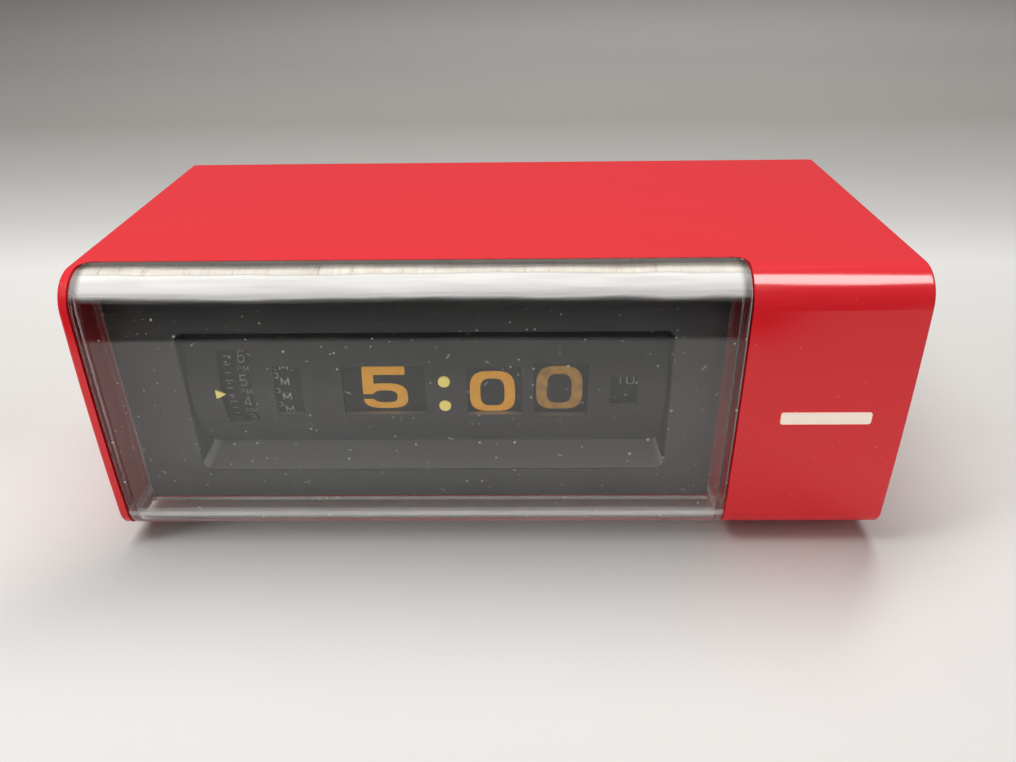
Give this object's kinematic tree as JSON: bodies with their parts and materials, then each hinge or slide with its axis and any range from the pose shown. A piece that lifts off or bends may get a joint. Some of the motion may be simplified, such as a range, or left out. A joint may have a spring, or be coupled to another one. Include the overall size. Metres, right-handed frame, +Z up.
{
  "type": "digital drum alarm clock",
  "caption": "Red moulded box clock with a clear front, rotating number drums behind windows in a dark dial, and rear setting wheels, switch and stop bar.",
  "frame": {"origin": "centre of the bounding box in plan, on the table under the feet", "axes": "+X to the right seen from the front, +Y to the back, +Z up; the dial faces -Y"},
  "size_m": [0.2, 0.1106, 0.076],
  "materials": {
    "red_case": "satin-gloss moulded red plastic, fine dust and hairline scratches",
    "clear_lens": "clear acrylic, polished, a little scratched",
    "pale_seal": "aged white foam tape",
    "dial_charcoal": "charcoal moulding, fine grain on the panel",
    "pale_yellow": "pale yellow paint",
    "cream_badge": "plain cream bar",
    "black_cover": "black moulding, light grain",
    "screw_steel": "zinc plated",
    "foot_rubber": "matt rubber",
    "plate_steel": "zinc-yellow plated sheet",
    "shaft_steel": "ground steel",
    "drum_black": "matt dark moulding with printed figures",
    "gear_white": "natural acetal",
    "brass_part": "turned brass",
    "wheel_grey": "dark grey knurled moulding",
    "spacer_white": "natural nylon",
    "motor_can": "drawn steel can",
    "cell_jacket": "plain dark metal jacket",
    "contact_tin": "tinned spring steel",
    "switch_grey": "dark moulding",
    "phenolic": "brown phenolic sheet",
    "component_mix": "lacquered components",
    "diaphragm_brass": "thin brass disc"
  },
  "bodies": {
    "case": {"case_shell": "red_case", "lens": "clear_lens", "lens_seal": "pale_seal", "dial_bezel": "dial_charcoal", "colon_dots": "pale_yellow", "alarm_pointer": "pale_yellow", "badge_bar": "cream_badge", "rear_cover": "black_cover", "base_plinth": "black_cover", "rear_cover_screws": "screw_steel", "frame_screws": "screw_steel", "frame_nuts": "screw_steel", "axle_clips": "screw_steel", "shaft_collars": "screw_steel", "hatch_pin": "screw_steel", "rubber_feet": "foot_rubber", "frame_plate_left": "plate_steel", "frame_plate_right": "plate_steel", "motor_plate": "plate_steel", "setting_bracket": "plate_steel", "frame_pillars": "shaft_steel", "drum_axle": "shaft_steel", "transfer_shaft": "shaft_steel", "setting_shaft": "shaft_steel", "reduction_stud": "shaft_steel", "alarm_contacts": "brass_part", "shaft_spacers": "spacer_white", "battery_cradle": "spacer_white", "motor_body": "motor_can", "battery_cell": "cell_jacket", "battery_contact_plate": "contact_tin", "stop_bar_springs": "contact_tin", "alarm_switch_body": "switch_grey", "sounder_body": "switch_grey", "contact_block": "phenolic", "circuit_board": "phenolic", "board_components": "component_mix", "sounder_diaphragm": "diaphragm_brass"},
    "battery_door": {"battery_door": "black_cover", "battery_contact_spring": "contact_tin"},
    "alarm_stop_bar": {"alarm_stop_bar": "black_cover"},
    "alarm_switch_slider": {"alarm_switch_slider": "black_cover"},
    "alarm_drum": {"alarm_drum": "drum_black"},
    "am_pm_drum": {"am_pm_drum": "drum_black"},
    "hour_drum": {"hour_drum": "drum_black"},
    "minute_tens_drum": {"minute_tens_drum": "drum_black"},
    "minute_units_drum": {"minute_units_drum": "drum_black"},
    "seconds_drum": {"seconds_drum": "drum_black"},
    "carry_pinion_am_pm": {"carry_pinion_am_pm": "gear_white"},
    "carry_pinion_hour": {"carry_pinion_hour": "gear_white"},
    "carry_pinion_tens": {"carry_pinion_tens": "gear_white"},
    "seconds_cluster": {"seconds_cluster": "gear_white"},
    "alarm_idler": {"alarm_idler": "gear_white"},
    "alarm_set_wheel": {"alarm_set_wheel": "wheel_grey"},
    "time_set_wheel": {"time_set_wheel": "wheel_grey"},
    "drive_arbor": {"drive_shaft": "shaft_steel", "drive_pinion": "brass_part", "drive_gear": "gear_white"},
    "reduction_gear": {"reduction_gear": "gear_white"},
    "motor_rotor": {"motor_pinion": "brass_part"}
  },
  "joints": [
    {"name": "minute_units_spin", "type": "hinge", "parent": "case", "child": "minute_units_drum", "pos_m": [0.0165, -0.013, 0.039], "axis": [1, 0, 0], "continuous": true},
    {"name": "minute_tens_spin", "type": "hinge", "parent": "case", "child": "minute_tens_drum", "pos_m": [0, -0.013, 0.039], "axis": [1, 0, 0], "continuous": true},
    {"name": "hour_spin", "type": "hinge", "parent": "case", "child": "hour_drum", "pos_m": [-0.029, -0.013, 0.039], "axis": [1, 0, 0], "continuous": true},
    {"name": "am_pm_spin", "type": "hinge", "parent": "case", "child": "am_pm_drum", "pos_m": [-0.054, -0.013, 0.039], "axis": [1, 0, 0], "continuous": true},
    {"name": "seconds_spin", "type": "hinge", "parent": "case", "child": "seconds_drum", "pos_m": [0.033, -0.013, 0.039], "axis": [1, 0, 0], "continuous": true},
    {"name": "carry_pinion_tens_spin", "type": "hinge", "parent": "case", "child": "carry_pinion_tens", "pos_m": [0.0078, 0.019, 0.039], "axis": [1, 0, 0], "continuous": true},
    {"name": "carry_pinion_hour_spin", "type": "hinge", "parent": "case", "child": "carry_pinion_hour", "pos_m": [-0.014, 0.019, 0.039], "axis": [1, 0, 0], "continuous": true},
    {"name": "carry_pinion_am_pm_spin", "type": "hinge", "parent": "case", "child": "carry_pinion_am_pm", "pos_m": [-0.0456, 0.019, 0.039], "axis": [1, 0, 0], "continuous": true},
    {"name": "seconds_cluster_spin", "type": "hinge", "parent": "case", "child": "seconds_cluster", "pos_m": [0.026, 0.019, 0.039], "axis": [1, 0, 0], "continuous": true},
    {"name": "time_set_wheel_spin", "type": "hinge", "parent": "case", "child": "time_set_wheel", "pos_m": [0.021, 0.038, 0.039], "axis": [1, 0, 0], "continuous": true},
    {"name": "drive_arbor_spin", "type": "hinge", "parent": "case", "child": "drive_arbor", "pos_m": [0.052, 0.00845, 0.021], "axis": [1, 0, 0], "continuous": true},
    {"name": "reduction_gear_spin", "type": "hinge", "parent": "case", "child": "reduction_gear", "pos_m": [0.0636, 0.0152, 0.03269], "axis": [1, 0, 0], "continuous": true},
    {"name": "motor_spin", "type": "hinge", "parent": "case", "child": "motor_rotor", "pos_m": [0.066, 0.0152, 0.04619], "axis": [1, 0, 0], "continuous": true},
    {"name": "alarm_drum_spin", "type": "hinge", "parent": "case", "child": "alarm_drum", "pos_m": [-0.067, -0.013, 0.039], "axis": [1, 0, 0], "continuous": true},
    {"name": "alarm_idler_spin", "type": "hinge", "parent": "case", "child": "alarm_idler", "pos_m": [-0.075, 0.019, 0.039], "axis": [1, 0, 0], "continuous": true},
    {"name": "alarm_set_wheel_spin", "type": "hinge", "parent": "case", "child": "alarm_set_wheel", "pos_m": [-0.07, 0.038, 0.039], "axis": [1, 0, 0], "continuous": true},
    {"name": "battery_door_hinge", "type": "hinge", "parent": "case", "child": "battery_door", "pos_m": [0.0805, 0.054, 0.0084], "axis": [-1, 0, 0], "range_deg": [0, 95]},
    {"name": "alarm_stop_press", "type": "slide", "parent": "case", "child": "alarm_stop_bar", "axis": [0, 0, -1], "range_m": [0, 0.0012], "stiffness_N_per_m": 400, "springref_m": -0.0012},
    {"name": "alarm_switch_slide", "type": "slide", "parent": "case", "child": "alarm_switch_slider", "axis": [1, 0, 0], "range_m": [0, 0.005]}
  ],
  "couplings": [
    {"joint": "minute_tens_spin", "follows": "minute_units_spin", "ratio": 0.083333},
    {"joint": "hour_spin", "follows": "minute_units_spin", "ratio": 0.013889},
    {"joint": "am_pm_spin", "follows": "minute_units_spin", "ratio": 0.0069444},
    {"joint": "seconds_spin", "follows": "minute_units_spin", "ratio": 10},
    {"joint": "carry_pinion_tens_spin", "follows": "minute_units_spin", "ratio": -0.25},
    {"joint": "carry_pinion_hour_spin", "follows": "minute_units_spin", "ratio": -0.041667},
    {"joint": "carry_pinion_am_pm_spin", "follows": "minute_units_spin", "ratio": -0.020833},
    {"joint": "seconds_cluster_spin", "follows": "minute_units_spin", "ratio": -2},
    {"joint": "time_set_wheel_spin", "follows": "minute_units_spin", "ratio": 2.56},
    {"joint": "drive_arbor_spin", "follows": "minute_units_spin", "ratio": -60},
    {"joint": "reduction_gear_spin", "follows": "minute_units_spin", "ratio": 264},
    {"joint": "motor_spin", "follows": "minute_units_spin", "ratio": -1161.6},
    {"joint": "alarm_idler_spin", "follows": "alarm_drum_spin", "ratio": -3},
    {"joint": "alarm_set_wheel_spin", "follows": "alarm_drum_spin", "ratio": 2.1818}
  ]
}
